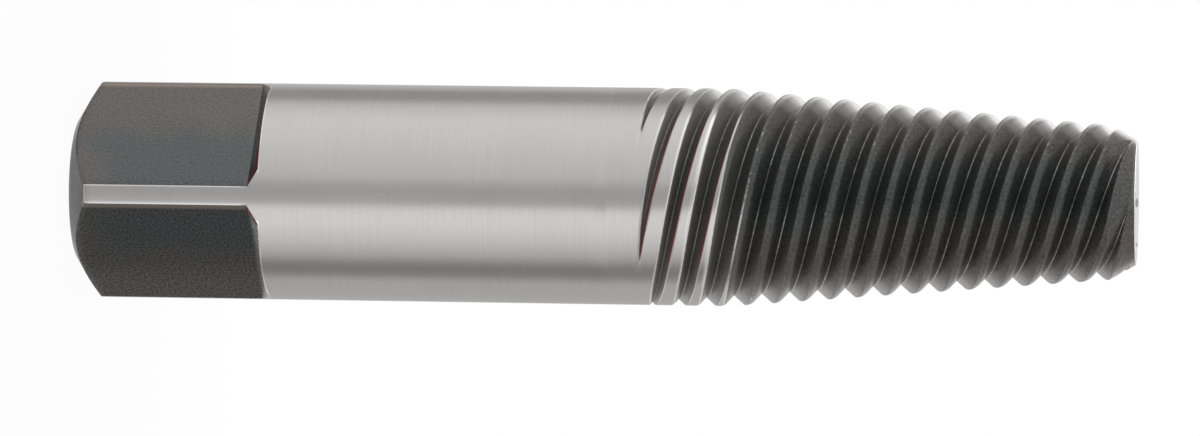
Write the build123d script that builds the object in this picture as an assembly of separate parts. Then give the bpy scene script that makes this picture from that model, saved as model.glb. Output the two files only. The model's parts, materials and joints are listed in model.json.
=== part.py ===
from build123d import *
import os
from math import ceil, cos, pi, radians, sin, tan

os.makedirs("parts", exist_ok=True)

# A tapered screw extractor, turned and ground from one bar. It stands on its drive end,
# with the origin in the middle of that face and Z along the axis to the tip.

# Bar, in millimetres
overall_length = 102.2
shank_diameter = 20.9

# Square drive, with a bevelled step where each flat runs into the shank
square_across_flats = 16.0
flat_length = 18.9
flat_end_bevel = 1.0
drive_face_diameter = 14.0
drive_chamfer_length = 2.1

# Taper that carries the flutes, half angle in degrees
taper_start = 63.4
taper_angle = 4.8

# Flutes: left-handed, with straight flanks and rounded crests. The phase is the angle
# from +X, in degrees, of the flute root that passes the taper's start. Each flute fades
# out of the shank over part of a turn, in degrees, while its climb along the axis slows.
flute_count = 5
flute_lead = 13.36
flute_depth = 1.05
flute_included_angle = 90.0
crest_radius = 0.6
flute_start = 55.3
run_out_length = 1.5
run_out_turn = 54.0
flute_phase = 65.4

# Tip
tip_chamfer_length = 2.55
tip_chamfer_angle = 30.0
tip_edge_break = 0.15

# Centres that the shank is ground between, with 60 degree mouths
centre_included_angle = 60.0
drive_centre_pilot = 2.0
drive_centre_mouth = 4.2
drive_centre_depth = 4.0
tip_centre_mouth = 0.9

# How far a cutting tool reaches past what it cuts, how far the run-out is carried on outside
# the shank, as a share of the run-out, and how finely the flutes are drawn
tool_clearance = 0.2
run_out_limit = 1.5
crest_steps = 1
points_per_turn = 16
points_per_run_out = 8

# Worked out
shank_radius = shank_diameter / 2
taper_slope = tan(radians(taper_angle))
flank_slope = tan(radians(90 - flute_included_angle / 2))
flute_pitch = flute_lead / flute_count
run_out_end = flute_start + run_out_length
run_out_climb = flute_lead * run_out_turn / 360
even_start = run_out_end - run_out_climb
mouth_slope = 1 / tan(radians(centre_included_angle / 2))
tip_slope = tan(radians(tip_chamfer_angle))
tip_chamfer_start = overall_length - tip_chamfer_length
tip_crest_radius = shank_radius - (tip_chamfer_start - taper_start) * taper_slope
tip_face_radius = tip_crest_radius - tip_chamfer_length * tip_slope


def turned_envelope():
    """The bar with both chamfers turned on it, still at full diameter between them."""
    outline = Polyline(
        (0, 0),
        (drive_face_diameter / 2, 0),
        (shank_radius, drive_chamfer_length),
        (shank_radius, overall_length - (shank_radius - tip_face_radius) / tip_slope),
        (tip_face_radius, overall_length),
        (0, overall_length),
        close=True,
    )
    envelope = revolve(Plane.XZ * make_face(outline), Axis.Z)
    tip_rim = envelope.edges().filter_by(GeomType.CIRCLE).sort_by(Axis.Z)[-1]
    return chamfer(tip_rim, tip_edge_break)


def flat_cutter():
    """What one flat takes off: a block with a bevelled corner at the shank end."""
    floor = square_across_flats / 2
    outside = shank_radius + tool_clearance
    section = Polyline(
        (floor, -tool_clearance),
        (outside, -tool_clearance),
        (outside, flat_length),
        (floor + flat_end_bevel, flat_length),
        (floor, flat_length - flat_end_bevel),
        close=True,
    )
    return extrude(Plane.XZ * make_face(section), amount=shank_radius, both=True)


def drive_centre_cutter():
    """A centre drill's hole that opens at the drive end, with a drill-point bottom."""
    pilot_radius = drive_centre_pilot / 2
    mouth_radius = drive_centre_mouth / 2
    outline = Polyline(
        (0, -tool_clearance),
        (mouth_radius + tool_clearance / mouth_slope, -tool_clearance),
        (pilot_radius, (mouth_radius - pilot_radius) * mouth_slope),
        (pilot_radius, drive_centre_depth),
        (0, drive_centre_depth + pilot_radius / mouth_slope),
        close=True,
    )
    return revolve(Plane.XZ * make_face(outline), Axis.Z)


def tip_centre_cutter():
    """The cone that a centre punch leaves in the middle of the tip's face."""
    mouth_radius = tip_centre_mouth / 2
    outline = Polyline(
        (0, overall_length + tool_clearance),
        (mouth_radius + tool_clearance / mouth_slope, overall_length + tool_clearance),
        (0, overall_length - mouth_radius * mouth_slope),
        close=True,
    )
    return revolve(Plane.XZ * make_face(outline), Axis.Z)


def flute_profile():
    """Corners of one flute's section as (offset along the axis, height above the root).

    On each side a straight flank runs up from the root, and chords of the arc that rounds
    the crest follow it. The crest itself lies between one flute's last corner and the
    next flute's first.
    """
    flank_angle = radians(90 - flute_included_angle / 2)
    arc_end = flute_depth / flank_slope + crest_radius * tan(flank_angle / 2)
    side = []
    for step in range(crest_steps + 1):
        angle = flank_angle * (1 - step / crest_steps)
        offset = arc_end - crest_radius * sin(angle)
        height = flute_depth - crest_radius * (1 - cos(angle))
        side.append((offset, height))
    mirrored = [(-offset, height) for offset, height in reversed(side)]
    return mirrored + [(0, 0)] + side


def run_out_share(position):
    """How far a flute has faded at a place on the even helix: 0 where the run-out ends.

    It is 1 where the root reaches the shank's surface. Below that it is outside the shank,
    and it grows no further than the limit.
    """
    return min(max((run_out_end - position) / run_out_climb, 0), run_out_limit)


def flute_root_radius(position):
    """Radius of the flute's root at a place on the even helix, lifted where it runs out."""
    depth_at_start = flute_depth - (taper_start - even_start) * taper_slope
    lift = depth_at_start * run_out_share(position) ** 2
    return shank_radius + (taper_start - position) * taper_slope - flute_depth + lift


def slowed(position):
    """Where a place on the even helix really lies, behind it where the climb slows."""
    return position + (run_out_climb - run_out_length) * run_out_share(position) ** 2


def fluted_corner(flute, offset, height, turns):
    """Where one corner of one flute's section lies, some turns past the taper's start.

    The section stays in a plane through the axis and turns clockwise as it climbs.
    """
    position = taper_start + turns * flute_lead + flute * flute_pitch
    angle = radians(flute_phase) - 2 * pi * turns
    radius = flute_root_radius(position) + height - offset * taper_slope
    return Vector(radius * cos(angle), radius * sin(angle), slowed(position + offset))


def turn_shares(flute, first_turn):
    """The shares of a turn at which a flute's edges are worked out, closer in the run-out."""
    start = taper_start + first_turn * flute_lead + flute * flute_pitch
    end = start + flute_lead
    step = run_out_climb / points_per_run_out
    marks = range(-1, ceil(points_per_run_out * run_out_limit) + 1)
    close = [run_out_end - step * mark for mark in marks]
    even = [start + flute_lead * number / points_per_turn for number in range(1, points_per_turn)]
    places = [place for place in even if place < close[-1] - step or place > close[0] + step]
    places += [place for place in close if start + step < place < end - step]
    return [0.0] + [(place - start) / flute_lead for place in sorted(places)] + [1.0]


def fluted_edges(first_turn):
    """Helical edges of the fluted taper over one turn, in order along the axis."""
    edges = []
    for flute in range(flute_count):
        shares = turn_shares(flute, first_turn)
        for offset, height in flute_profile():
            corners = [fluted_corner(flute, offset, height, first_turn + share) for share in shares]
            edges.append(Edge.make_spline(corners, parameters=shares))
    return edges


def end_faces(edges, level):
    """Faces that close the fluted bar at a level, past the turn whose edges are given.

    An upright wall runs from the turn's first edge to the level, where a flat face meets
    it. A third face fills the step in the plane where the turn begins.
    """
    rim = edges[0]
    marks = [rim @ (step / points_per_turn) for step in range(points_per_turn + 1)]
    foot = Edge.make_spline([Vector(mark.X, mark.Y, level) for mark in marks])
    wall = Face.make_surface_from_curves(rim, foot)
    flat_end = Face(Wire([foot, Edge.make_line(foot @ 1, foot @ 0)]))
    section = [edge @ 0 for edge in edges]
    step_face = Face(Wire.make_polygon(section + [rim @ 1, foot @ 1, foot @ 0]))
    return [wall, flat_end, step_face]


def fluted_bar():
    """A bar with the flutes wound round its taper, wider than the shank below them.

    Its sides are strips between neighbouring helical edges, straight in any plane through
    the axis. Above the last edge of one turn comes the first edge of the next.
    """
    wide_top = flute_start - flute_pitch
    bar_top = overall_length + tool_clearance
    first_turn = (wide_top - flute_lead - taper_start) / flute_lead
    last_turn = (bar_top - taper_start) / flute_lead
    turns = []
    for number in range(ceil(last_turn - first_turn) + 1):
        turns.append(fluted_edges(first_turn + number))
    faces = []
    for edges, next_edges in zip(turns, turns[1:]):
        row = edges + [next_edges[0]]
        for edge, neighbour in zip(row, row[1:]):
            faces.append(Face.make_surface_from_curves(edge, neighbour))
    faces += end_faces(turns[0], -tool_clearance)
    faces += end_faces(turns[-1], bar_top + 2 * flute_lead)
    return Solid(Shell(faces))


def screw_extractor():
    """The whole tool: turned bar, flutes, four flats and centres."""
    tool = turned_envelope() & fluted_bar()
    flat = flat_cutter()
    for side in range(4):
        tool -= Rot(0, 0, 90 * side) * flat
    return tool - drive_centre_cutter() - tip_centre_cutter()


export_step(screw_extractor(), "parts/screw_extractor.step")
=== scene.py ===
import json
import math
from types import SimpleNamespace

import bpy
import numpy as np
from mathutils import Matrix, Vector

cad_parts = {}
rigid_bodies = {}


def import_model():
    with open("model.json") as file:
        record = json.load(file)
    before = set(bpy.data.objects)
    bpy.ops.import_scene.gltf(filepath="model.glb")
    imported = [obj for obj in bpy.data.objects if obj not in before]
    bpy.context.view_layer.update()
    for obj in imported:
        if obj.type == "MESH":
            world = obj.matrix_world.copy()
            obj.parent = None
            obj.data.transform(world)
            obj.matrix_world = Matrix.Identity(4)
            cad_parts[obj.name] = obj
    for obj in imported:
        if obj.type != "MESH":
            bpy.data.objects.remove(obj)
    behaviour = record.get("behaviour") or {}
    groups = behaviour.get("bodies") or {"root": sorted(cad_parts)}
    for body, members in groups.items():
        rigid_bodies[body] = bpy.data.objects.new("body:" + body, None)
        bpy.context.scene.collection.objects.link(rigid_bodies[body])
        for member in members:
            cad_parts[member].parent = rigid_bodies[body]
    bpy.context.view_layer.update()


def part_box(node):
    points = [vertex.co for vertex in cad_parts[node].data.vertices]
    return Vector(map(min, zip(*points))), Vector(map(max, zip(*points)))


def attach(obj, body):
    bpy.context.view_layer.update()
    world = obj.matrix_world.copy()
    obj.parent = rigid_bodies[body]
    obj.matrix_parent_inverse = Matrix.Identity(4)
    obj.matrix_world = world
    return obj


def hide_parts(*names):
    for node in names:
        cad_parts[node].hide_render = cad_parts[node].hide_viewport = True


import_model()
lowCorner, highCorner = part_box("screw_extractor")
print("frame loaded")

mm = 0.001  # the shape below is worked out in millimetres

tool = {
    "length": (highCorner[2] - lowCorner[2]) / mm,
    "shankRadius": (highCorner[0] - lowCorner[0]) / 2 / mm,
    "flatDistance": 8.0,         # axis to each drive flat
    "flatLength": 18.9,
    "flatBevel": 1.0,
    "driveFaceRadius": 7.0,
    "driveChamfer": 2.1,
    "centrePilot": 1.0,          # radius of the drive end's centre hole, and of its mouth
    "centreMouth": 2.1,
    "centreDepth": 4.0,
    "centreAngle": 60.0,
    "taperStart": 63.4,
    "taperAngle": 4.8,
    "fluteCount": 5,
    "fluteLead": 13.36,
    "fluteDepth": 1.05,
    "fluteStart": 55.3,
    "runOutLength": 1.5,
    "runOutTurn": 54.0,          # degrees of turn in which a flute fades out, while its climb slows
    "flutePhase": 65.4,          # degrees, the root that passes the taper's start
    "rootRadius": 0.09,
    "tipCrestRadius": 0.9,       # round of each crest on the side that faces the tip
    "driveCrestRadius": 0.3,     # and on the side that faces the drive end
    "tipChamfer": 2.55,
    "tipChamferAngle": 30.0,
    "tipRimRadius": 0.12,
    "tipMark": 0.45,             # radius of the small cone in the tip's face
    "edgeSoftness": 0.05,        # how far a ground edge is broken
    "fluteEdgeSoftness": 0.20,   # the same on the side of each flute land that faces the tip
    "landEdgeSoftness": 0.17,    # and on one side of each corner land
    "sharpAngle": 38.0,          # degrees between faces past which an edge is drawn sharp
    "columnsPerFlute": 48,
    "rowStep": 0.18,
    "twistBelow": 3.0,           # how far below the flutes the columns start to follow the helix
    "burnishedTop": 70.0,        # how far up the edges of the flute lands are burnished
}
shankRadius = tool["shankRadius"]
flatLength = tool["flatLength"]
fluteStart = tool["fluteStart"]
taperStart = tool["taperStart"]
bevelStart = flatLength - tool["flatBevel"]
taperSlope = math.tan(math.radians(tool["taperAngle"]))
tipSlope = math.tan(math.radians(tool["tipChamferAngle"]))
mouthSlope = 1 / math.tan(math.radians(tool["centreAngle"] / 2))
chamferStart = tool["length"] - tool["tipChamfer"]
tipCrest = shankRadius - (chamferStart - taperStart) * taperSlope
tipFaceRadius = tipCrest - tool["tipChamfer"] * tipSlope
flutePitch = tool["fluteLead"] / tool["fluteCount"]
runOutEnd = fluteStart + tool["runOutLength"]
runOutClimb = tool["fluteLead"] * tool["runOutTurn"] / 360
twistStart = fluteStart - tool["twistBelow"]
columnCount = tool["columnsPerFlute"] * tool["fluteCount"]

# A round between two 45 degree flanks lies this far inside their corner, as a share of its radius,
# and meets them this far to each side
roundShare = math.sqrt(2) - 1
roundReach = math.sqrt(0.5)
rootShift = (tool["tipCrestRadius"] - tool["driveCrestRadius"]) * roundShare / 2  # towards the tip


def rise(values, low, high):
    # 0 below the low limit, 1 above the high one, straight between
    return np.clip((values - low) / (high - low), 0, 1)


def softMin(first, second, width):
    # The lower of two heights, with a round of the given width where they cross
    overlap = np.maximum(width - np.abs(first - second), 0) / width
    return np.minimum(first, second) - overlap ** 2 * width / 4


def spread(count, low, high, density):
    # Places between two limits, closer together where the density is higher
    fine = np.linspace(low, high, 4001)
    total = np.concatenate([[0], np.cumsum(density((fine[1:] + fine[:-1]) / 2))])
    return np.interp((np.arange(count) + 0.5) / count, total / total[-1], fine)


def flankReach(offset):
    # From the root to the crest along the axis, longer on the flank that faces the tip
    return flutePitch / 2 + np.where(offset < 0, rootShift, -rootShift)


def flankHeight(offset):
    # Height above the flute's root: a straight 45 degree flank with a round root and a round crest
    away = np.abs(offset)
    root = tool["rootRadius"]
    crest = np.where(offset < 0, tool["tipCrestRadius"], tool["driveCrestRadius"])
    fromCrest = flankReach(offset) - away
    straight = away - root * roundShare
    rootRound = root - np.sqrt(np.maximum(root ** 2 - away ** 2, 0))
    rising = np.where(away < root * roundReach, rootRound, straight)
    top = flankReach(offset) - (root + crest) * roundShare
    crestRound = top - crest + np.sqrt(np.maximum(crest ** 2 - fromCrest ** 2, 0))
    return np.where(fromCrest < crest * roundReach, crestRound, rising)


def evenHeight(z):
    # Place on the even helix of a real place along the axis, where the climb lags by lag * share ** 2
    lag = runOutClimb - tool["runOutLength"]
    below = np.maximum(runOutEnd - z, 0)
    share = (runOutClimb - np.sqrt(np.maximum(runOutClimb ** 2 - 4 * lag * below, 0))) / (2 * lag)
    return z - lag * share ** 2


def fluteOffset(angle, even):
    # How far past the nearest root a place on the even helix lies, along the axis
    turns = (math.radians(tool["flutePhase"]) - angle) / (2 * math.pi)
    helix = even - taperStart - tool["fluteLead"] * turns
    return helix - flutePitch * np.round(helix / flutePitch) - rootShift


def fluteRadius(even, offset):
    # Radius of the fluted taper: the taper line, less the flute's depth, lifted by a parabola
    # where it runs out
    startDepth = tool["fluteDepth"] - (taperStart - runOutEnd + runOutClimb) * taperSlope
    lift = startDepth * (np.maximum(runOutEnd - (even - offset), 0) / runOutClimb) ** 2
    taper = shankRadius + (taperStart - even) * taperSlope
    return taper - tool["fluteDepth"] + flankHeight(offset) + lift


def towardsTip(offset, crestWidth):
    # 1 on the flank that faces the tip, 0 on the other, straight between at the root and the crest
    rootWidth = 0.3
    return rise(-offset, 0, rootWidth) * rise(flankReach(offset) + offset, 0, crestWidth)


def fromFlat(angle):
    # Angle from the middle of the nearest drive flat
    return (angle + math.pi / 4) % (math.pi / 2) - math.pi / 4


def flatRadius(angle, distance):
    # Distance from the axis to the nearest drive flat, along each direction
    return distance / np.cos(fromFlat(angle))


def landCrowding(angle):
    # How closely the columns lie over a quarter of the square: closer at both edges of its corner land
    halfLand = math.pi / 4 - math.acos(tool["flatDistance"] / shankRadius)
    edgeWidth = math.radians(1.0)
    return 1 + 10 * np.exp(-((np.abs(angle - math.pi / 4) - halfLand) / edgeWidth) ** 2)


def fluteCrowding(offset):
    # The same over one flute, along the axis: closer at its root and near its crests
    rootWidth = 0.1
    crestWidth = 0.4
    nearRoot = np.exp(-((offset - rootShift) / rootWidth) ** 2)
    nearCrest = np.abs(np.abs(offset) - flutePitch / 2) < crestWidth
    return 1 + 3.5 * nearRoot + 1.5 * nearCrest


def driveColumns():
    # Directions round the square
    quarter = spread(columnCount // 4, 0, math.pi / 2, landCrowding)
    return np.concatenate([quarter + k * math.pi / 2 for k in range(4)])


def fluteColumns():
    # Directions round the taper where the columns start to follow the helix
    one = spread(tool["columnsPerFlute"], -flutePitch / 2, flutePitch / 2, fluteCrowding)
    offsets = np.concatenate([one + k * flutePitch for k in range(tool["fluteCount"])])
    turns = (offsets - (twistStart - taperStart)) / tool["fluteLead"]
    angles = (math.radians(tool["flutePhase"]) + 2 * math.pi * turns) % (2 * math.pi)
    return np.sort(angles)


def ringRows(angles, pairs):
    # Plain rings, one for each (radius, height)
    radius = np.array([[pair[0]] for pair in pairs]) * np.ones(len(angles))
    height = np.array([[pair[1]] for pair in pairs]) * np.ones(len(angles))
    return np.tile(angles, (len(pairs), 1)), radius, height


def centreRows(angles):
    # The drive end's centre hole and flat face, from the hole's bottom outwards
    pilot = tool["centrePilot"]
    mouth = tool["centreMouth"]
    face = tool["driveFaceRadius"]
    pilotTop = (mouth - pilot) * mouthSlope
    pairs = [(pilot, tool["centreDepth"]), (pilot, pilotTop), (mouth, 0), (face * 0.6, 0), (face * 0.985, 0)]
    return ringRows(angles, pairs)


def driveRows(angles):
    # Chamfer, flats, bevel and wall of the square: rows that follow the edges between them
    softness = tool["edgeSoftness"]
    distance = tool["flatDistance"]
    face = tool["driveFaceRadius"]
    soft = np.where(fromFlat(angles) < 0, tool["landEdgeSoftness"], softness)
    coneSlope = (shankRadius - face) / tool["driveChamfer"]
    side = softMin(flatRadius(angles, distance), shankRadius, soft)
    brow = (side - face) / coneSlope  # where the chamfer ends
    rows = []
    for share in (0.02, 0.2, 0.4, 0.6, 0.8, 0.95):
        rows.append((face + share * brow * coneSlope, share * brow))
    rows.append((side - 0.5 * softness, brow))
    for share in (0.008, 0.05, 0.2, 0.4, 0.6, 0.8, 0.95, 1.0):
        rows.append((side, brow + share * (bevelStart - brow)))

    # The bevel ends early where the shank's surface is near the flat, and a wall fills the rest
    leastReach = 0.02
    wallLean = 0.01
    reach = np.clip(shankRadius * np.cos(fromFlat(angles)) - distance, leastReach, tool["flatBevel"])
    for share in (0.1, 0.35, 0.65, 1.0):
        bevel = flatRadius(angles, distance + share * reach)
        rows.append((softMin(bevel, shankRadius, soft), bevelStart + share * reach))
    wallFoot = rows[-1][0]
    for share in (0.3, 0.7, 0.97):
        rows.append((wallFoot + share * (shankRadius - wallFoot), bevelStart + reach + wallLean * share))
    rows.append((np.full_like(angles, shankRadius), bevelStart + reach + softness))
    radius = np.array([row[0] for row in rows])
    return np.tile(angles, (len(rows), 1)), radius, np.array([row[1] for row in rows])


def shankRows(driveAngles, fluteAngles):
    # Plain cylinder, over which the columns move from the square's places to the flutes'
    rowCount = 16
    start = flatLength + 4 * tool["edgeSoftness"]
    heights = np.concatenate([[start, start + 0.3], np.linspace(start + 1.2, twistStart, rowCount)])
    share = np.clip((heights - heights[1]) / (twistStart - heights[1]), 0, 1)[:, None]
    angles = driveAngles * (1 - share) + fluteAngles * share
    return angles, np.full_like(angles, shankRadius), heights[:, None] * np.ones(columnCount)


def fluteRows(fluteAngles):
    # Fluted taper and tip chamfer: every column follows the helix, once round in each lead
    step = tool["rowStep"]
    arcTop = tool["length"] - tool["tipRimRadius"] / 2
    plain = np.arange(twistStart + step, chamferStart, step)
    chamfer = np.arange(chamferStart, arcTop, step / 2)
    heights = np.concatenate([plain, chamfer, [arcTop]])[:, None]
    angles = fluteAngles - 2 * math.pi * (heights - twistStart) / tool["fluteLead"]
    cone = tipFaceRadius + (tool["length"] - heights) * tipSlope
    even = evenHeight(heights)
    offset = fluteOffset(angles, even)
    soft = tool["edgeSoftness"]
    edgeSoft = soft + (tool["fluteEdgeSoftness"] - soft) * towardsTip(offset, 0.3)
    radius = softMin(fluteRadius(even, offset), np.full_like(angles, shankRadius), edgeSoft)
    radius = softMin(radius, cone * np.ones(columnCount), soft)
    return angles, radius, heights * np.ones(columnCount)


def tipRows(angles):
    # Rim round, flat face and the small cone in its middle
    rim = tool["tipRimRadius"]
    rimSteps = 6
    mark = tool["tipMark"]
    slant = math.radians(tool["tipChamferAngle"])
    middle = tool["length"] - rim
    centre = tipFaceRadius + (rim - rim * math.sin(slant)) * tipSlope - rim * math.cos(slant)
    pairs = []
    for lean in np.linspace(slant, math.pi / 2, rimSteps + 1)[1:]:
        pairs.append((centre + rim * math.cos(lean), middle + rim * math.sin(lean)))
    for radius in (0.97 * centre, 0.7 * centre, 0.4 * centre, 2 * mark, mark):
        pairs.append((radius, tool["length"]))
    return ringRows(angles, pairs)


def wearMarks(angles, height):
    # For the finish: distance from the nearest root along the axis, and where the edge of
    # a flute land is burnished, near the shank's surface and on the side that faces the tip
    even = evenHeight(height)
    offset = fluteOffset(angles, even)
    overShank = fluteRadius(even, offset) - shankRadius
    inFlutes = rise(height, fluteStart - 1.0, fluteStart - 0.5)
    nearSurface = rise(overShank, -0.1, 0.0) * (1 - rise(overShank, 0.10, 0.26))
    burnished = nearSurface * towardsTip(offset, 0.2) * inFlutes
    burnished = burnished * (1 - rise(height, tool["burnishedTop"], tool["burnishedTop"] + 1.0))
    burnished = burnished * rise(height, fluteStart + 0.3, fluteStart + 2.7)
    fromRoot = np.abs(offset) / flankReach(offset) * flutePitch / 2
    return fromRoot * inFlutes + (1 - inFlutes) * flutePitch / 4, burnished


def addMarks(mesh, name, values, atPoles):
    # A number at each point, and at the two poles, for the finish to read
    marks = np.concatenate([values.ravel(), atPoles])
    mesh.attributes.new(name, "FLOAT", "POINT").data.foreach_set("value", marks)


def buildTool():
    # Rows of points round the axis from end to end, joined by quads, with a fan at each pole
    driveAngles = driveColumns()
    fluteAngles = fluteColumns()
    zones = [centreRows(driveAngles), driveRows(driveAngles), shankRows(driveAngles, fluteAngles)]
    zones.append(fluteRows(fluteAngles))
    zones.append(tipRows(zones[-1][0][-1]))
    angles, radius, height = [np.vstack([zone[k] for zone in zones]) for k in range(3)]
    grid = np.stack([radius * np.cos(angles), radius * np.sin(angles), height], axis=-1).reshape(-1, 3)
    drivePoint = tool["centreDepth"] + tool["centrePilot"] / mouthSlope
    tipPoint = tool["length"] - tool["tipMark"] * mouthSlope
    points = np.vstack([grid, [[0, 0, drivePoint], [0, 0, tipPoint]]]) * mm

    rows = len(angles)
    index = np.arange(rows * columnCount).reshape(rows, columnCount)
    following = np.roll(index, -1, axis=1)
    quads = np.stack([index[:-1], following[:-1], following[1:], index[1:]], axis=-1).reshape(-1, 4)
    drivePole = rows * columnCount
    tipPole = drivePole + 1
    driveFan = np.stack([np.full(columnCount, drivePole), following[0], index[0]], axis=-1)
    tipFan = np.stack([np.full(columnCount, tipPole), index[-1], following[-1]], axis=-1)

    mesh = bpy.data.meshes.new("extractorBody")
    mesh.from_pydata(points, [], quads.tolist() + driveFan.tolist() + tipFan.tolist())
    mesh.polygons.foreach_set("use_smooth", np.ones(len(mesh.polygons), dtype=bool))
    mesh.set_sharp_from_angle(angle=math.radians(tool["sharpAngle"]))
    mesh.update()
    fromRoot, burnished = wearMarks(angles, height)
    addMarks(mesh, "fromRoot", fromRoot, [flutePitch / 4, 0])
    addMarks(mesh, "burnished", burnished, [0, 0])
    body = bpy.data.objects.new("extractorBody", mesh)
    bpy.context.scene.collection.objects.link(body)
    print("extractor body:", rows, "rows,", 2 * len(quads) + 2 * columnCount, "triangles")
    return body


class Value:
    # A node's output: sums, products and powers of it add Math nodes
    def __init__(self, tree, socket=None):
        self.tree = tree
        self.socket = socket

    def node(self, kind, settings, inputs, output=0):
        made = addNode(self.tree, kind, settings, inputs)
        return Value(self.tree, made.outputs[output])

    def __add__(self, other):
        return maths("ADD", self, other)

    def __radd__(self, other):
        return maths("ADD", other, self)

    def __sub__(self, other):
        return maths("SUBTRACT", self, other)

    def __rsub__(self, other):
        return maths("SUBTRACT", other, self)

    def __mul__(self, other):
        return maths("MULTIPLY", self, other)

    def __rmul__(self, other):
        return maths("MULTIPLY", other, self)

    def __truediv__(self, other):
        return maths("DIVIDE", self, other)

    def __rtruediv__(self, other):
        return maths("DIVIDE", other, self)

    def __pow__(self, other):
        return maths("POWER", self, other)

    def __rpow__(self, other):
        return maths("POWER", other, self)


def addNode(tree, kind, settings, inputs):
    # Any node: its settings first, then the values or links of its sockets
    made = tree.nodes.new(kind)
    for name, setting in settings.items():
        if name == "stops":
            colours = made.color_ramp
            while len(colours.elements) < len(setting):
                colours.elements.new(0.5)
            for element, (place, colour) in zip(colours.elements, setting):
                element.position = place
                element.color = (*colour, 1)
        else:
            setattr(made, name, setting)
    for name, given in inputs.items():
        if isinstance(given, Value):
            tree.links.new(given.socket, made.inputs[name])
        else:
            made.inputs[name].default_value = given
    return made


def emptyTree(block):
    # A material's or world's node tree with nothing in it, from which its first nodes are made
    block.use_nodes = True
    block.node_tree.nodes.clear()
    return Value(block.node_tree)


def maths(operation, *values):
    # A Math node on outputs and plain numbers
    output = next(value for value in values if isinstance(value, Value))
    return output.node("ShaderNodeMath", {"operation": operation}, dict(enumerate(values)))


def larger(first, second):
    # The larger of two numbers at each point
    return maths("MAXIMUM", first, second)


def facing(angle, place):
    # Cosine of the angle from a place round the axis, in degrees: 1 there and -1 on the far side
    return maths("COSINE", angle - math.radians(place))


def axes(vector):
    # The three numbers of a vector
    parts = addNode(vector.tree, "ShaderNodeSeparateXYZ", {}, {0: vector})
    return [Value(vector.tree, socket) for socket in parts.outputs]


def ramp(value, low, high):
    # 0 below the low limit, 1 above the high one, smooth between
    limits = {"Value": value, "From Min": low, "From Max": high}
    return value.node("ShaderNodeMapRange", {"interpolation_type": "SMOOTHSTEP"}, limits)


def band(value, low, lowEnd, highStart, high):
    # A rise between the first two limits and a fall between the last two
    return ramp(value, low, lowEnd) * (1 - ramp(value, highStart, high))


def mixColour(factor, first, second):
    # The first colour where the factor is 0, the second where it is 1
    settings = {"data_type": "RGBA", "blend_type": "MIX"}
    return factor.node("ShaderNodeMix", settings, {0: factor, 6: first, 7: second}, 2)


def toned(colour, tone):
    # A colour made lighter or darker by a number
    return tone.node("ShaderNodeVectorMath", {"operation": "SCALE"}, {0: colour, "Scale": tone})


def noise(vector, scale, detail, roughness):
    # Cloudy numbers about 0.5, finer with a higher scale
    inputs = {"Vector": vector, "Scale": scale, "Detail": detail, "Roughness": roughness}
    return vector.node("ShaderNodeTexNoise", {}, inputs)


steel = {
    "groundColour": (0.60, 0.592, 0.585, 1),
    "edgeColour": (0.95, 0.95, 0.94, 1),     # burnished edges of the ground lands, the tip's face, and a painted glint on the burnished edges that face the shown side
    "flatBlue": (0.106, 0.117, 0.120, 1),
    "flatBrown": (0.148, 0.137, 0.130, 1),
    "fluteBlue": (0.068, 0.078, 0.076, 1),
    "fluteBrown": (0.092, 0.079, 0.070, 1),
    # painted highlight along each root
    "rootHighlightColour": (0.13, 0.13, 0.125),
    "flankHighlightColour": (0.275, 0.260, 0.246, 1),  # painted highlight on the flutes' flanks near the shown side's upper outline
    "runOutColour": (0.215, 0.205, 0.188, 1),
    "edgeTint": (0.520, 0.085, 0.090, 1),
    "brownEdge": (0.290, 0.242, 0.212, 1),   # rounded side of each corner land
    "faceMark": (0.060, 0.028, 0.024, 1),
    "bluestPlace": 43.0,      # degrees round the axis
    "fluteTurn": 9.0,         # how far that place turns from the drive end to the flutes, degrees
    "dimmestPlace": 38.0,     # where the painted highlights along the roots are faintest
    "tintedPlace": 38.0,      # where the edges have their reddish tint
    "shownSide": 42.1,        # degrees round the axis, the side of the tool that the photo shows
    "groundRoughness": 0.2,
    "flatRoughness": 0.26,
    "fluteRoughness": 0.36,
    "oilRoughness": 0.28,     # oil film on the oxide
    "oilIor": 1.5,
    "oilOnFlats": 0.3,
    "groundDepth": 0.07,      # how far below the shank's surface still counts as ground, mm
    "bumpStrength": 0.12,
    "bumpHeight": 0.02,       # mm
    # tones that stand in for light on the shown side, as shares of the oxide's brightness
    "upperBevelLift": 1.5,
    "lowerBevelLift": 3.6,
    "lowerCornerLift": 3.2,
    "shadedFlat": 0.27,
    "tipLift": 0.4,
    "hiddenRootFall": 0.35,
}


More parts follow.
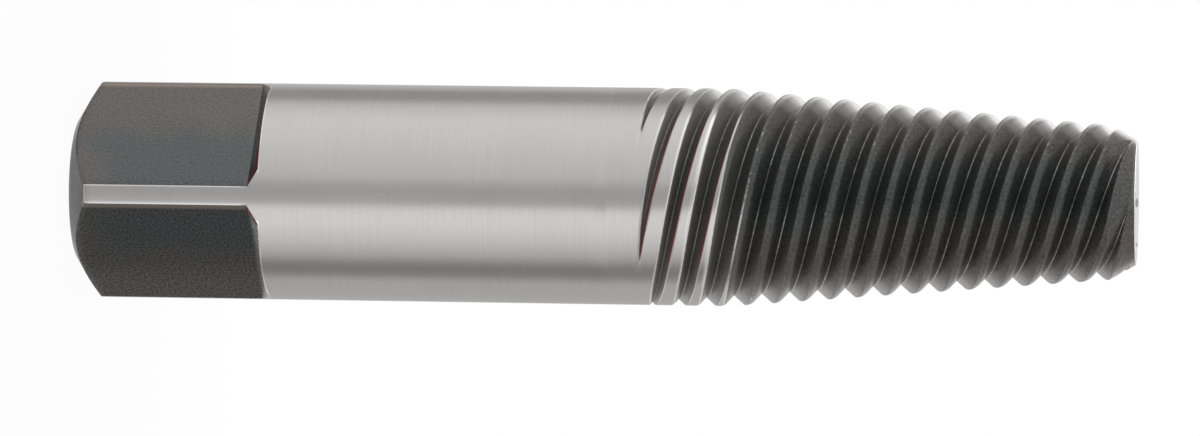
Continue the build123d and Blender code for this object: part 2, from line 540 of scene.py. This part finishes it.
def toolPlaces(start):
    # Where a point lies on the tool, in millimetres, and what several of its finishes share
    at = SimpleNamespace()
    place = start.node("ShaderNodeTexCoord", {}, {}, "Object")
    at.scaled = place.node("ShaderNodeVectorMath", {"operation": "SCALE"}, {0: place, "Scale": 1 / mm})
    at.x, at.y, at.z = axes(at.scaled)
    at.slant = axes(start.node("ShaderNodeTexCoord", {}, {}, "Normal"))[2]
    at.radius = (at.x * at.x + at.y * at.y) ** 0.5
    at.around = maths("ARCTAN2", at.y, at.x)
    at.depth = shankRadius - at.radius
    at.fromRoot = start.node("ShaderNodeAttribute", {"attribute_name": "fromRoot"}, {}, "Fac")
    at.edgeMark = start.node("ShaderNodeAttribute", {"attribute_name": "burnished"}, {}, "Fac")

    streaks = place.node("ShaderNodeCombineXYZ", {}, {0: at.around * 1.5, 1: at.z * 9.0, 2: at.radius * 0.3})
    at.grinding = noise(streaks, 1.0, 4.0, 0.65)
    at.cloud = noise(at.scaled, 0.22, 3.0, 0.5)
    at.grain = noise(at.scaled, 4.5, 2.0, 0.6)
    at.speckle = noise(at.scaled, 1.6, 4.0, 0.7)

    # Across the shown side, up in the photo, and towards its front
    side = math.radians(steel["shownSide"])
    at.sideways = at.x * math.sin(side) - at.y * math.cos(side)
    at.forwards = at.x * math.cos(side) + at.y * math.sin(side)
    at.upTurn = at.sideways / at.radius

    at.inFlutes = ramp(at.z, flatLength, fluteStart)
    at.inTip = ramp(at.z, chamferStart - 0.05, chamferStart + 0.05)
    at.onFace = ramp(at.z, tool["length"] - 0.03, tool["length"] - 0.01)
    at.lowerFlat = (1 - at.inFlutes) * ramp(at.y, 5.5, 7.5)
    at.facesDrive = ramp(0 - at.slant, 0.4, 0.6)
    at.bevel = at.facesDrive * ramp(at.z, bevelStart - 0.1, bevelStart + 0.1) * (1 - at.inFlutes)
    at.nearTint = ramp(facing(at.around, steel["tintedPlace"]), 0.6, 0.85)
    at.runOut = at.inFlutes * (1 - ramp(at.z, runOutEnd, runOutEnd + 1.8) * 0.55
                               - ramp(at.z, taperStart - 0.4, taperStart + 3.6) * 0.45)

    # The rounded side of each corner land, beside the flats
    at.fourfold = at.around * 4
    at.roundSide = ramp(0 - maths("SINE", at.fourfold), 0.1, 0.3)
    at.landRim = at.roundSide * (1 - ramp(at.z, bevelStart - 0.3, bevelStart + 0.1))
    nearGround = at.depth * (1 + at.landRim * 0.8)
    onShank = 1 - ramp(nearGround, steel["groundDepth"] * 0.6, steel["groundDepth"])
    at.ground = larger(onShank, at.onFace)

    # The painted highlight lines along the roots, which fade near the shown side's upper outline, and the
    # painted shade on the roots near that outline
    at.atRoot = (1 - ramp(at.fromRoot, 0.05, 0.10)) * ramp(at.depth, 0.2, 0.5)
    at.atRoot = at.atRoot * (1 - ramp(at.upTurn, 0.80, 0.88))
    # painted shade on the roots near the shown side's upper outline
    at.hiddenRoot = (1 - ramp(at.fromRoot, 0.05, 0.12)) * ramp(at.upTurn, 0.86, 0.93)
    at.hiddenRoot = at.hiddenRoot * at.inFlutes * (1 - at.inTip)
    return at


def oxideColour(at):
    # Black oxide: bluish along one side and brownish a quarter of a turn away, browner at the drive end
    fromBluest = at.around - math.radians(steel["bluestPlace"])
    fromBluest = fromBluest + at.inFlutes * math.radians(steel["fluteTurn"])
    nearBlue = maths("COSINE", fromBluest * 2) * 0.5 + 0.5 - at.inFlutes * 0.30
    mottle = (at.cloud - 0.5) * (0.7 - at.inFlutes * 0.3) + (at.speckle - 0.5) * 0.5
    blueness = ramp(nearBlue + mottle, 0.15, 0.75) * ramp(at.z + (at.cloud - 0.5) * 6, 0.0, 6.0)
    blueness = blueness * (1 - at.inTip * 0.3)
    blue = mixColour(at.inFlutes, steel["flatBlue"], steel["fluteBlue"])
    brown = mixColour(at.inFlutes, steel["flatBrown"], steel["fluteBrown"])
    return mixColour(blueness, brown, blue)


def addRootHighlights(at, oxide):
    # A painted highlight along each root as a brighter, uneven line, faintest on one side of the tool and
    # near the shown side's upper outline
    dimSide = ramp(facing(at.around, steel["dimmestPlace"]), 0.95, 1.0)
    tone = (at.speckle * 2.0 + at.cloud * 2.6 - 1.2) * (1.3 - dimSide * 0.6)
    tone = tone * (1 - ramp(at.upTurn, 0.65, 0.85) * 0.3)
    return mixColour(at.atRoot, oxide, toned(steel["rootHighlightColour"], tone))


def addTones(at, oxide):
    # Grain, the paler run-outs, a painted highlight on the flutes' flanks, and the other tones that stand in
    # for light on the shown side
    graininess = 1.3 + at.inFlutes * 1.2 + at.lowerFlat * 2.0
    shaded = at.lowerFlat * ramp(at.x, -5.0, -1.0) * steel["shadedFlat"]
    oxide = toned(oxide, (1 - shaded) * (1 + (at.grain - 0.5) * graininess))
    oxide = mixColour(at.runOut * 0.85, oxide, steel["runOutColour"])
    # painted highlight on the flutes' flanks near the shown side's upper outline, weaker right at the outline
    flankHighlight = ramp(at.slant, 0.3, 0.6) * ramp(at.upTurn, 0.86, 0.93)
    flankHighlight = flankHighlight * (1 - ramp(at.upTurn, 0.970, 0.994) * 0.7) * at.inFlutes * (1 - at.inTip)
    oxide = mixColour(flankHighlight, oxide, steel["flankHighlightColour"])

    plainBevel = (1 - ramp(at.z, bevelStart + 0.55, bevelStart + 0.75)) * (1 - ramp(at.y, 3.0, 5.0))
    upperLift = larger(plainBevel, ramp(0 - at.y, -1.0, 4.0) * 0.7) * steel["upperBevelLift"]
    upperLift = at.bevel * ramp(at.x, 5.5, 7.5) * upperLift
    lowerLift = ramp(at.z, bevelStart + 0.1, bevelStart + 0.8) * steel["lowerBevelLift"]
    atCorner = ramp(at.x, 0.0, 4.5) * ramp(at.z, bevelStart + 0.05, bevelStart + 0.45)
    lowerLift = at.bevel * at.lowerFlat * (lowerLift + atCorner * steel["lowerCornerLift"])
    lift = 1 + at.inTip * steel["tipLift"] + upperLift + lowerLift
    # the painted shade on the roots near the upper outline darkens the oxide here
    return toned(oxide, lift * (1 - at.hiddenRoot * steel["hiddenRootFall"]))


def edgeTint(at):
    # How far the oxide is tinted red: under the edges that face the drive end, and along the bevels
    crestRadius = shankRadius + taperStart * taperSlope - at.z * taperSlope
    shallow = 1 - ramp(at.depth * (at.inFlutes * 0.6 + 0.4), 0.14, 0.28)
    underEdge = ramp(at.depth, 0.04, 0.08) * shallow * ramp(crestRadius - at.radius, 0.08, 0.16)
    tinted = underEdge * at.facesDrive * (at.speckle + 0.2) * (1 - at.inTip)
    tinted = tinted * at.nearTint * ramp(at.z, 10.0, 12.0)
    alongBevel = at.bevel * ramp(at.z, bevelStart + 0.46, bevelStart + 0.58) * at.nearTint
    return larger(tinted, alongBevel * (at.speckle + 0.3) * (1 - at.lowerFlat * 0.65))


def brownTint(at):
    # How far it is brown: beside the corner lands, on the bevels away from the red, and at the tip's rim
    beside = band(at.depth, 0.05, 0.08, 0.15, 0.45) * at.landRim
    lowerBevel = at.lowerFlat * ramp(at.z, bevelStart + 0.4, bevelStart + 0.9) * 0.25
    onBevel = at.bevel * (0.35 * (1 - at.nearTint) + lowerBevel)
    rim = ramp(at.z, tool["length"] - 0.28, tool["length"] - 0.16) * ramp(at.upTurn, -0.2, 0.1) * at.speckle
    return larger(larger(beside, onBevel), rim)


def bareMetalAndHighlights(at):
    # Where the metal is bare: the ground surfaces, worn crests and a few small nicks, and painted highlights
    # as bare metal on the crests, in a band towards the shown side's upper outline and near its lower outline
    onCrest = ramp(at.fromRoot, flutePitch / 2 - 0.11, flutePitch / 2 - 0.05)
    onCrest = onCrest * ramp(at.z, taperStart - 1.0, taperStart)
    # painted highlight: more bare crests in a band towards the shown side's upper outline
    upperCrestHighlight = ramp(at.upTurn, 0.4, 0.6) * (1 - ramp(at.upTurn, 0.80, 0.92)) * 0.12
    lessWorn = ramp(at.z, taperStart + 1.6, taperStart + 3.4) * 0.37
    wearAndHighlight = onCrest * ramp(at.speckle + 0.14 + upperCrestHighlight - lessWorn, 0.40, 0.62)
    # painted highlight on the crests near the shown side's lower outline
    lowerCrestHighlight = onCrest * ramp(0 - at.upTurn, 0.60, 0.80) * (at.speckle + 0.5) * 0.16
    cells = addNode(at.z.tree, "ShaderNodeTexVoronoi", {}, {"Vector": at.scaled, "Scale": 0.8})
    chance, distance = [Value(at.z.tree, cells.outputs[name]) for name in ("Color", "Distance")]
    nicks = (1 - ramp(distance, 0.05, 0.11)) * ramp(chance, 0.77, 0.79) * at.inFlutes * (1 - at.inTip)
    return larger(at.ground, larger(larger(wearAndHighlight, lowerCrestHighlight), nicks * 0.45))


def markDistance(at, across, along, stretch):
    # Distance from the middle of a mark on the tip's face, which is longer towards the shown side:
    # the stretch is the square of its length over its width
    aside = at.sideways - across
    ahead = at.forwards - along
    return (aside * aside * stretch + ahead * ahead) ** 0.5


def groundColour(at):
    # Ground metal with its grinding marks, brighter burnished edges with a painted glint where they face the
    # shown side, painted shade on edges near its upper outline, and two stains on the tip's face
    onLand = ramp(at.depth, 0.001, 0.006) * (1 - ramp(at.z, flatLength - 2, flatLength - 1))
    onLand = onLand * (at.roundSide * 0.3 + 0.2)
    offLand = ramp(maths("COSINE", at.fourfold), -0.66, -0.6)
    onShoulder = band(at.z, flatLength - 0.4, flatLength - 0.1, flatLength + 0.10, flatLength + 0.16)
    onLand = larger(onLand, onShoulder * offLand * 0.7)
    softened = ramp(at.depth, 0.003, 0.02) * at.inFlutes * (1 - at.onFace)
    # painted shade on the flute lands' edges near the shown side's upper outline; beside each corner land the
    # rim is duller all round
    dullingAndEdgeShade = larger(at.edgeMark, softened) * ramp(at.upTurn, 0.70, 0.82)
    dullingAndEdgeShade = larger(dullingAndEdgeShade, ramp(at.depth, 0.012, 0.035) * at.landRim * 0.7)
    # painted glint on the burnished edges that face the shown side's front
    burnishedEdgeGlint = at.edgeMark * ramp(at.forwards / at.radius, 0.52, 0.74)
    burnished = larger(at.onFace, at.ground * larger(burnishedEdgeGlint, onLand))
    plain = mixColour(burnished, steel["groundColour"], steel["edgeColour"])
    tone = 1 + (at.grinding - 0.5) * 0.16 + (at.cloud - 0.5) * 0.08
    plain = toned(plain, tone * (1 - dullingAndEdgeShade * 0.65))
    ragged = (at.speckle - 0.5) * 5
    stain = 1 - ramp(markDistance(at, 0.0, 0.0, 100) + ragged, 3.2, 5.0)
    nick = 1 - ramp(markDistance(at, -4.0, -1.5, 160) + ragged, 1.8, 3.2)
    return mixColour(at.onFace * (stain + nick), plain, steel["faceMark"])


def toolSteel():
    # One bar of steel: ground metal where it is bare or painted as a highlight, and elsewhere black oxide
    # under a film of oil
    material = bpy.data.materials.new("toolSteel")
    start = emptyTree(material)
    at = toolPlaces(start)
    tinted = edgeTint(at)
    oxide = addTones(at, addRootHighlights(at, oxideColour(at)))
    oxide = mixColour(tinted, oxide, steel["edgeTint"])
    oxide = mixColour(brownTint(at), oxide, steel["brownEdge"])
    bareOrHighlit = bareMetalAndHighlights(at)
    colour = mixColour(bareOrHighlit, oxide, groundColour(at))

    oxideRoughness = at.inFlutes * (steel["fluteRoughness"] - steel["flatRoughness"]) + steel["flatRoughness"]
    roughness = bareOrHighlit * (steel["groundRoughness"] - oxideRoughness) + oxideRoughness
    roughness = roughness + (at.grain - 0.5) * 0.12 + (at.cloud - 0.5) * 0.06
    roughness = roughness - at.atRoot * (1 - at.runOut) * 0.18 + at.runOut * (1 - bareOrHighlit) * 0.25
    oil = (1 - bareOrHighlit) * (at.inFlutes * (1 - steel["oilOnFlats"]) + steel["oilOnFlats"])
    # less oil where the roots get painted shade
    oil = oil * (at.grain + 0.5) * (1 - tinted) * (1 - at.hiddenRoot * 0.5)
    height = at.ground * at.grinding * 0.6 + (1 - at.ground) * at.grain
    relief = {"Strength": steel["bumpStrength"], "Distance": steel["bumpHeight"] * mm, "Height": height}
    bump = height.node("ShaderNodeBump", {}, relief)
    shader = start.node("ShaderNodeBsdfPrincipled", {}, {
        "Base Color": colour,
        "Metallic": 1.0,
        "Roughness": roughness,
        "Normal": bump,
        "Coat Weight": oil,
        "Coat Roughness": steel["oilRoughness"],
        "Coat IOR": steel["oilIor"],
    })
    addNode(start.tree, "ShaderNodeOutputMaterial", {}, {"Surface": shader})
    return material


studio = {
    "cameraAzimuth": 42.1,
    "cameraDistance": 0.6601,
    "cameraHeight": 0.1256,
    "aimHeight": 0.05065,
    "aimRise": -0.002145,     # how far the aim lies from the axis, up in the picture
    "roll": 0.79,
    "lens": 206.95,
    "sensorWidth": 36,
    "floorRadius": 12.0,
    "floorColour": (0.9, 0.9, 0.9, 1),
    "shadowShown": 0.05,      # share of the floor's own shading that the camera sees at the tool
    "shadowEdge": (0.02, 0.12),
    # brightness of the studio round the tool, by degrees from the camera towards the picture's top
    "surround": [
        (-180, 0.73), (-164, 0.52), (-150, 0.56), (-108, 0.58), (-98, 0.34), (-90, 0.27), (-82, 0.30),
        (-70, 0.60), (-50, 0.89), (-30, 1.08), (-17, 1.05), (-11, 0.58), (0, 0.52), (9, 0.56), (15, 0.74),
        (30, 0.80), (60, 0.91), (84, 0.96), (104, 0.80), (112, 0.66), (119, 0.42), (138, 0.38),
        (148, 0.58), (165, 0.62), (180, 0.73),
    ],
    # the same a little towards the tip, then a little towards the drive end
    "nearTip": [
        (-180, 0.62), (-164, 0.85), (-145, 0.98), (-125, 0.85), (-108, 0.72), (-98, 0.50), (-90, 0.40),
        (-82, 0.38), (-70, 0.48), (-50, 0.66), (-30, 0.76), (-17, 0.72), (-11, 0.44), (0, 0.34),
        (9, 0.36), (15, 0.56), (30, 0.80), (60, 1.02), (84, 1.12), (104, 1.00), (118, 1.10),
        (130, 1.55), (148, 1.75), (155, 1.90), (161, 1.75), (167, 1.35), (173, 0.72), (180, 0.50),
    ],
    "nearDrive": [
        (-180, 0.65), (-160, 0.85), (-140, 0.95), (-108, 0.85), (-82, 0.50), (-60, 0.60), (-20, 0.60),
        (0, 0.40), (20, 0.60), (60, 0.80), (90, 0.75), (110, 0.45), (130, 0.36), (141, 0.55),
        (150, 1.55), (158, 1.30), (170, 0.70), (180, 0.60),
    ],
    # and far towards each of them
    "tipward": [
        (-180, 0.70), (-160, 0.80), (-140, 0.50), (-110, 0.50), (-60, 0.62), (0, 0.66), (50, 0.72),
        (80, 0.70), (110, 0.66), (128, 0.64), (137, 0.32), (148, 0.15), (156, 1.60), (163, 3.80),
        (174, 3.80), (180, 1.50),
    ],
    "driveward": [
        (-180, 0.62), (-150, 0.75), (-125, 0.50), (-60, 0.50), (0, 0.60), (50, 0.50), (80, 0.35),
        (140, 0.22), (155, 0.55), (180, 0.62),
    ],
    # each ring takes over where a direction leans this far, to the tip (1) or to the drive end (-1)
    "leans": {
        "nearTip": (1, -0.07, 0.06),
        "nearDrive": (-1, 0.22, 0.35),
        "tipward": (1, 0.16, 0.38),
        "driveward": (-1, 0.45, 0.65),
    },
    "ringTint": (1, 0.995, 0.985),
    "ends": 0.09,             # brightness past both ends, and from which lean
    "endLean": (0.90, 0.98),
}


def studioRing(turn, name):
    # Brightness by the direction round the tool, which goes from 0 to 1
    stops = []
    for angle, level in studio[name]:
        stops.append((angle / 360 + 0.5, [level * share for share in studio["ringTint"]]))
    return turn.node("ShaderNodeValToRGB", {"stops": stops}, {0: turn})


def buildWorld():
    # Rings of light and dark for the metal to reflect, and plain white for the camera
    world = bpy.data.worlds.new("studio")
    bpy.context.scene.world = world
    start = emptyTree(world)
    x, y, z = axes(start.node("ShaderNodeTexCoord", {}, {}, "Generated"))
    azimuth = math.radians(studio["cameraAzimuth"])
    towards = x * math.cos(azimuth) + y * math.sin(azimuth)
    upwards = x * math.sin(azimuth) - y * math.cos(azimuth)
    turn = maths("ARCTAN2", upwards, towards) / (2 * math.pi) + 0.5
    light = studioRing(turn, "surround")
    for name, (side, low, high) in studio["leans"].items():
        light = mixColour(ramp(z * side, low, high), light, studioRing(turn, name))
    light = mixColour(ramp(maths("ABSOLUTE", z), *studio["endLean"]), light, (studio["ends"],) * 3 + (1,))
    cameraRay = start.node("ShaderNodeLightPath", {}, {}, "Is Camera Ray")
    colour = mixColour(cameraRay, light, (1, 1, 1, 1))
    background = start.node("ShaderNodeBackground", {}, {"Color": colour, "Strength": 1.0})
    addNode(start.tree, "ShaderNodeOutputWorld", {}, {"Surface": background})


def paleFloor():
    # White to the camera, but for a soft shadow near the tool, and clear to reflections
    material = bpy.data.materials.new("paleFloor")
    start = emptyTree(material)
    place = start.node("ShaderNodeTexCoord", {}, {}, "Object")
    away = place.node("ShaderNodeVectorMath", {"operation": "LENGTH"}, {0: place}, "Value")
    cameraRay = start.node("ShaderNodeLightPath", {}, {}, "Is Camera Ray")
    glossyRay = start.node("ShaderNodeLightPath", {}, {}, "Is Glossy Ray")
    white = start.node("ShaderNodeEmission", {}, {"Color": (1, 1, 1, 1), "Strength": 1.0})
    matt = start.node("ShaderNodeBsdfDiffuse", {}, {"Color": studio["floorColour"]})
    clear = start.node("ShaderNodeBsdfTransparent", {}, {})
    shadow = studio["shadowShown"]
    shown = cameraRay * (1 - shadow + shadow * ramp(away, *studio["shadowEdge"]))
    paper = shown.node("ShaderNodeMixShader", {}, {0: shown, 1: matt, 2: white})
    surface = glossyRay.node("ShaderNodeMixShader", {}, {0: glossyRay, 1: paper, 2: clear})
    addNode(start.tree, "ShaderNodeOutputMaterial", {}, {"Surface": surface})
    return material


def buildFloor():
    # Large disc under the tool
    sides = 64
    radius = studio["floorRadius"]
    mesh = bpy.data.meshes.new("floor")
    turn = np.linspace(0, 2 * math.pi, sides + 1)[:-1]
    rim = np.stack([radius * np.cos(turn), radius * np.sin(turn), np.zeros(sides)], axis=-1)
    mesh.from_pydata(rim, [], [list(range(sides))])
    floor = bpy.data.objects.new("floor", mesh)
    bpy.context.scene.collection.objects.link(floor)
    mesh.materials.append(paleFloor())


def buildCamera():
    # The picture's right runs along the tool's axis, so the camera lies on its side, a little rolled
    azimuth = math.radians(studio["cameraAzimuth"])
    axis = Vector((0, 0, 1))
    outward = Vector((math.cos(azimuth), math.sin(azimuth), 0))
    place = outward * studio["cameraDistance"] + axis * studio["cameraHeight"]
    aim = axis * studio["aimHeight"] + outward.cross(axis) * studio["aimRise"]
    back = (place - aim).normalized()
    along = (axis - back * back.z).normalized()
    across = back.cross(along)
    roll = math.radians(studio["roll"])
    right = along * math.cos(roll) + across * math.sin(roll)
    up = back.cross(right)
    data = bpy.data.cameras.new("camera")
    data.lens = studio["lens"]
    data.sensor_width = studio["sensorWidth"]
    data.clip_start = 0.05
    data.clip_end = 50
    camera = bpy.data.objects.new("camera", data)
    camera.matrix_world = Matrix((
        (right.x, up.x, back.x, place.x),
        (right.y, up.y, back.y, place.y),
        (right.z, up.z, back.z, place.z),
        (0, 0, 0, 1),
    ))
    bpy.context.scene.collection.objects.link(camera)
    bpy.context.scene.camera = camera


buildCamera()
body = buildTool()
body.data.materials.append(toolSteel())
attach(body, "root")
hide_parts("screw_extractor")
print("extractor finished")
buildFloor()
buildWorld()
bpy.context.scene.view_settings.view_transform = "Standard"
print("studio set")
